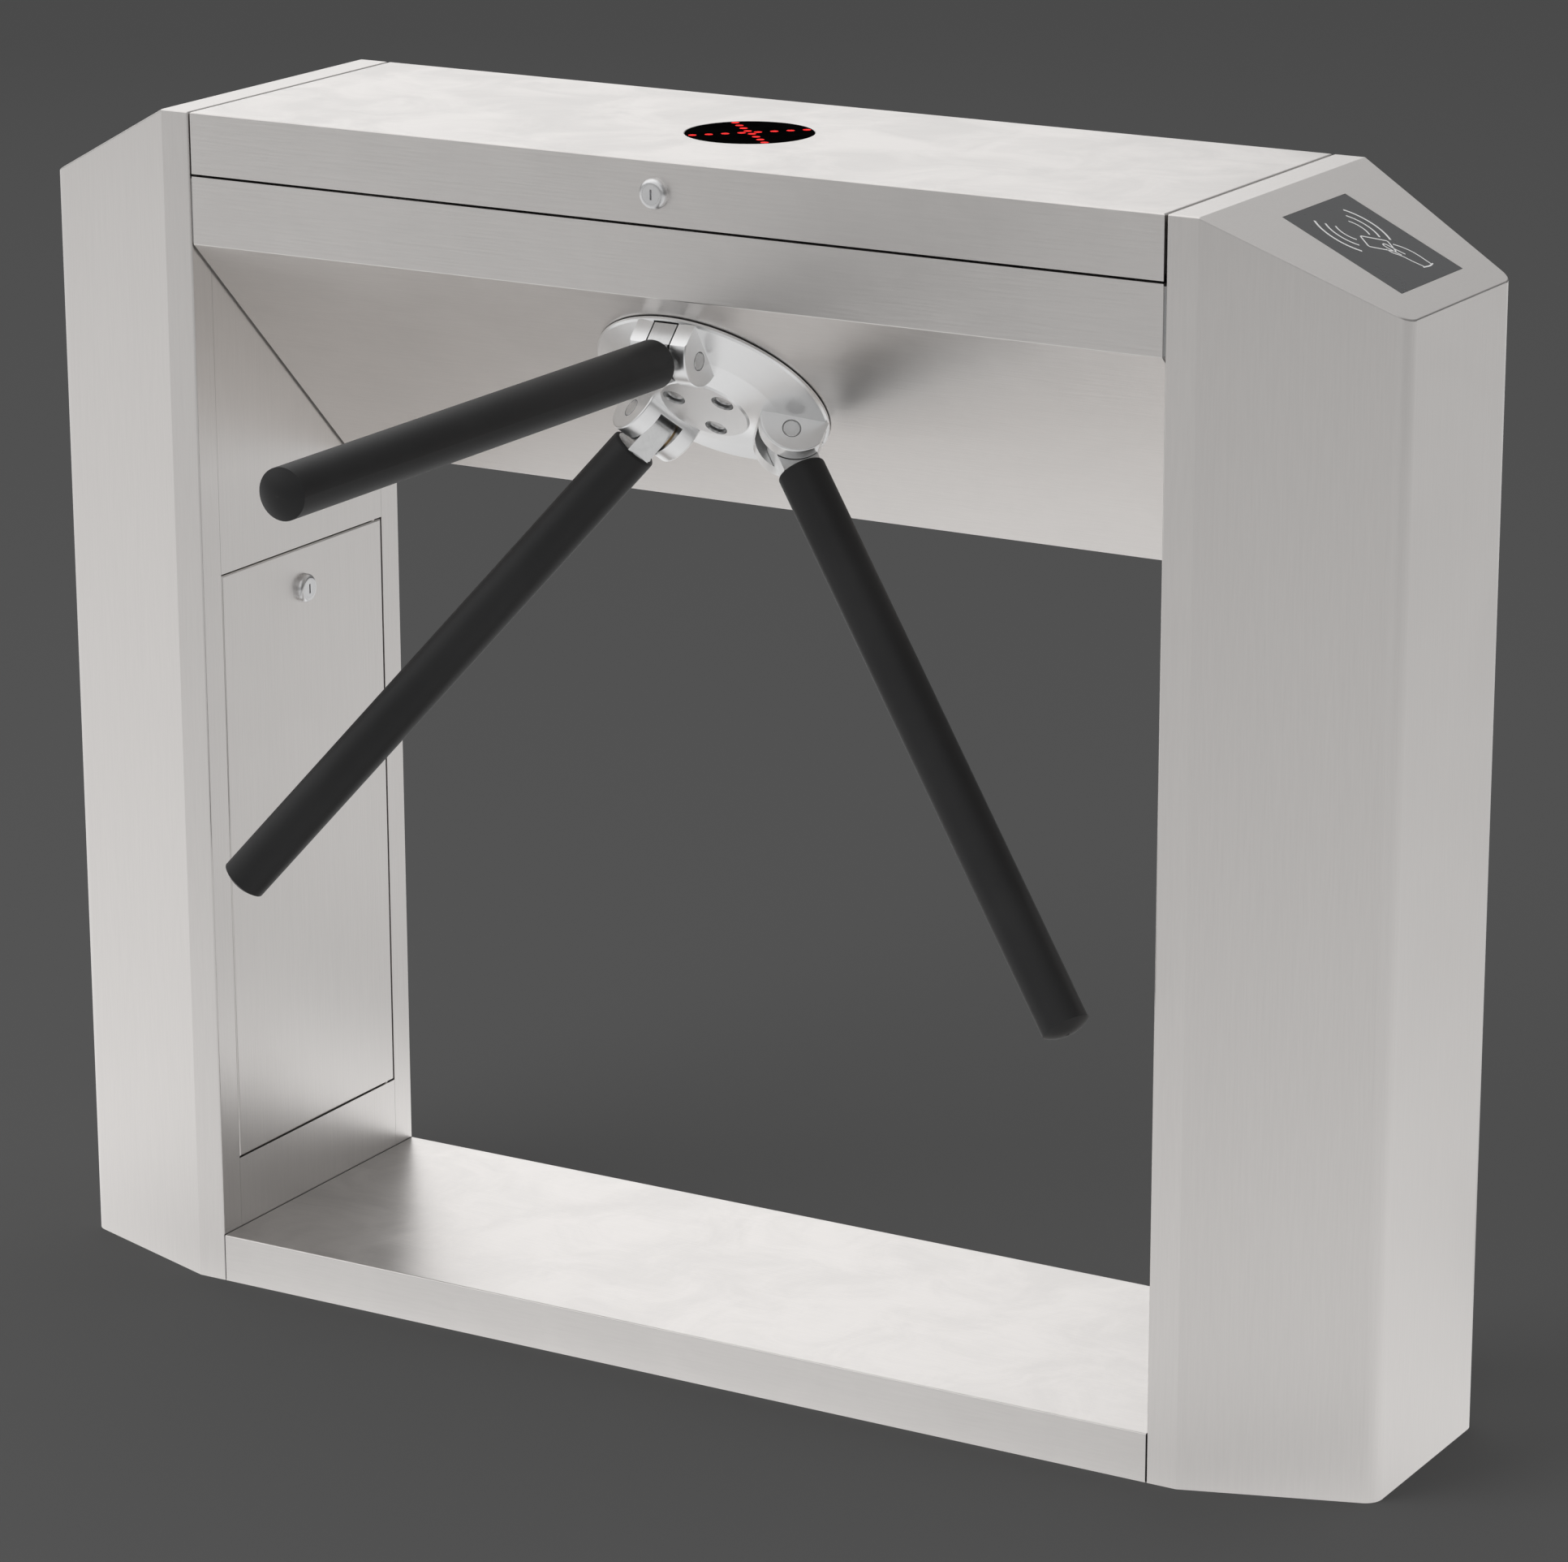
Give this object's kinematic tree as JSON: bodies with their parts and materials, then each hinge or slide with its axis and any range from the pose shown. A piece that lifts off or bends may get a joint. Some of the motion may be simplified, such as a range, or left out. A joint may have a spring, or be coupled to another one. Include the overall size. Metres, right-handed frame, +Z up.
{
  "type": "tripod turnstile",
  "caption": "Bridge tripod turnstile in brushed steel: pedestals with card windows, a beam with a lit cross in its lid, and a tilted hub with black drop arms.",
  "frame": {"origin": "on the floor under the middle of the cabinet, at the centre of the floor anchors", "axes": "+X along the cabinet from pedestal to pedestal, +Y from the walkway with the arms to the back, +Z up"},
  "size_m": [1.2, 0.7776, 0.98],
  "materials": {
    "stainless_skin": "satin brushed stainless sheet",
    "hub_alloy": "polished light alloy casting",
    "chrome_trim": "bright chrome plate",
    "arm_sleeve": "satin black",
    "arm_steel": "turned stainless steel",
    "zinc_steel": "zinc-plated steel",
    "machined_steel": "machined and oiled steel",
    "bearing_bronze": "plain bronze",
    "dark_window": "smoked glossy sheet",
    "lamp_lens": "clear red",
    "circuit_board": "green lacquered board",
    "module_case": "fine-grained black case",
    "supply_case": "folded aluminium case",
    "motor_paint": "black enamel"
  },
  "bodies": {
    "cabinet": {"left_pedestal_shell": "stainless_skin", "right_pedestal_shell": "stainless_skin", "left_inner_panel": "stainless_skin", "right_inner_panel": "stainless_skin", "beam_body": "stainless_skin", "base_sill": "stainless_skin", "left_floor_plate": "zinc_steel", "right_floor_plate": "zinc_steel", "beam_end_plates": "zinc_steel", "cabinet_bolts": "zinc_steel", "mechanism_front_plate": "zinc_steel", "mechanism_rear_plate": "zinc_steel", "mechanism_pillars": "zinc_steel", "mechanism_studs": "zinc_steel", "lid_strike": "zinc_steel", "lid_hinge_fixed": "zinc_steel", "lid_hinge_pin": "zinc_steel", "shaft_bearings": "machined_steel", "left_reader_window": "dark_window", "right_reader_window": "dark_window", "control_board": "circuit_board", "left_card_reader": "module_case", "right_card_reader": "module_case", "position_sensor": "module_case", "power_supply": "supply_case", "drive_motor": "motor_paint", "lock_solenoids": "motor_paint"},
    "lid": {"lid": "stainless_skin", "lid_hinge_leaf": "zinc_steel", "lid_lock_barrel": "chrome_trim", "led_window": "dark_window", "led_lenses": "lamp_lens", "led_board": "circuit_board"},
    "lid_lock": {"lid_lock_core": "chrome_trim"},
    "left_door": {"left_door": "stainless_skin", "left_door_lock_barrel": "chrome_trim"},
    "right_door": {"right_door": "stainless_skin", "right_door_lock_barrel": "chrome_trim"},
    "left_door_lock": {"left_door_lock_core": "chrome_trim"},
    "right_door_lock": {"right_door_lock_core": "chrome_trim"},
    "tripod": {"hub_casting": "hub_alloy", "hub_bolts": "arm_steel", "arm_pins": "arm_steel", "hinge_washers": "bearing_bronze", "main_shaft": "machined_steel", "lock_wheel": "machined_steel", "main_gear": "machined_steel", "encoder_disc": "machined_steel", "shaft_nut": "machined_steel"},
    "pinion": {"motor_pinion": "machined_steel"},
    "entry_pawl": {"entry_pawl": "machined_steel"},
    "exit_pawl": {"exit_pawl": "machined_steel"},
    "arm_1": {"arm_1_core": "arm_steel", "arm_1_sleeve": "arm_sleeve"},
    "arm_2": {"arm_2_core": "arm_steel", "arm_2_sleeve": "arm_sleeve"},
    "arm_3": {"arm_3_core": "arm_steel", "arm_3_sleeve": "arm_sleeve"}
  },
  "joints": [
    {"name": "tripod_spin", "type": "hinge", "parent": "cabinet", "child": "tripod", "pos_m": [0, -0.05564, 0.79064], "axis": [0, -0.7071, -0.7071], "continuous": true},
    {"name": "pinion_spin", "type": "hinge", "parent": "cabinet", "child": "pinion", "pos_m": [0.08, -0.05564, 0.79064], "axis": [0, -0.7071, -0.7071], "continuous": true},
    {"name": "arm_1_drop", "type": "hinge", "parent": "tripod", "child": "arm_1", "pos_m": [0, -0.11857, 0.82529], "axis": [1, 0, 0], "range_deg": [0, 90]},
    {"name": "arm_2_drop", "type": "hinge", "parent": "tripod", "child": "arm_2", "pos_m": [-0.05976, -0.04539, 0.7521], "axis": [-0.5, -0.6124, 0.6124], "range_deg": [0, 45]},
    {"name": "arm_3_drop", "type": "hinge", "parent": "tripod", "child": "arm_3", "pos_m": [0.05976, -0.04539, 0.7521], "axis": [-0.5, 0.6124, -0.6124], "range_deg": [0, 45]},
    {"name": "entry_pawl_turn", "type": "hinge", "parent": "cabinet", "child": "entry_pawl", "pos_m": [-0.073, -0.10938, 0.84438], "axis": [0, 0.7071, 0.7071], "range_deg": [0, 12], "stiffness_Nm_per_rad": 0.12, "springref_deg": -28.65},
    {"name": "exit_pawl_turn", "type": "hinge", "parent": "cabinet", "child": "exit_pawl", "pos_m": [0.073, -0.10938, 0.84438], "axis": [0, -0.7071, -0.7071], "range_deg": [0, 12], "stiffness_Nm_per_rad": 0.12, "springref_deg": -28.65},
    {"name": "lid_open", "type": "hinge", "parent": "cabinet", "child": "lid", "pos_m": [0, 0.137, 0.932], "axis": [-1, 0, 0], "range_deg": [0, 80]},
    {"name": "lid_lock_turn", "type": "hinge", "parent": "lid", "child": "lid_lock", "pos_m": [0, -0.14, 0.955], "axis": [0, -1, 0], "range_deg": [0, 90]},
    {"name": "left_door_open", "type": "hinge", "parent": "cabinet", "child": "left_door", "pos_m": [-0.433, 0.105, 0.35], "axis": [0, 0, 1], "range_deg": [0, 100]},
    {"name": "right_door_open", "type": "hinge", "parent": "cabinet", "child": "right_door", "pos_m": [0.433, 0.105, 0.35], "axis": [0, 0, -1], "range_deg": [0, 100]},
    {"name": "left_door_lock_turn", "type": "hinge", "parent": "left_door", "child": "left_door_lock", "pos_m": [-0.43, 0, 0.564], "axis": [-1, 0, 0], "range_deg": [0, 90]},
    {"name": "right_door_lock_turn", "type": "hinge", "parent": "right_door", "child": "right_door_lock", "pos_m": [0.43, 0, 0.564], "axis": [-1, 0, 0], "range_deg": [0, 90]}
  ],
  "couplings": [
    {"joint": "pinion_spin", "follows": "tripod_spin", "ratio": -3}
  ]
}
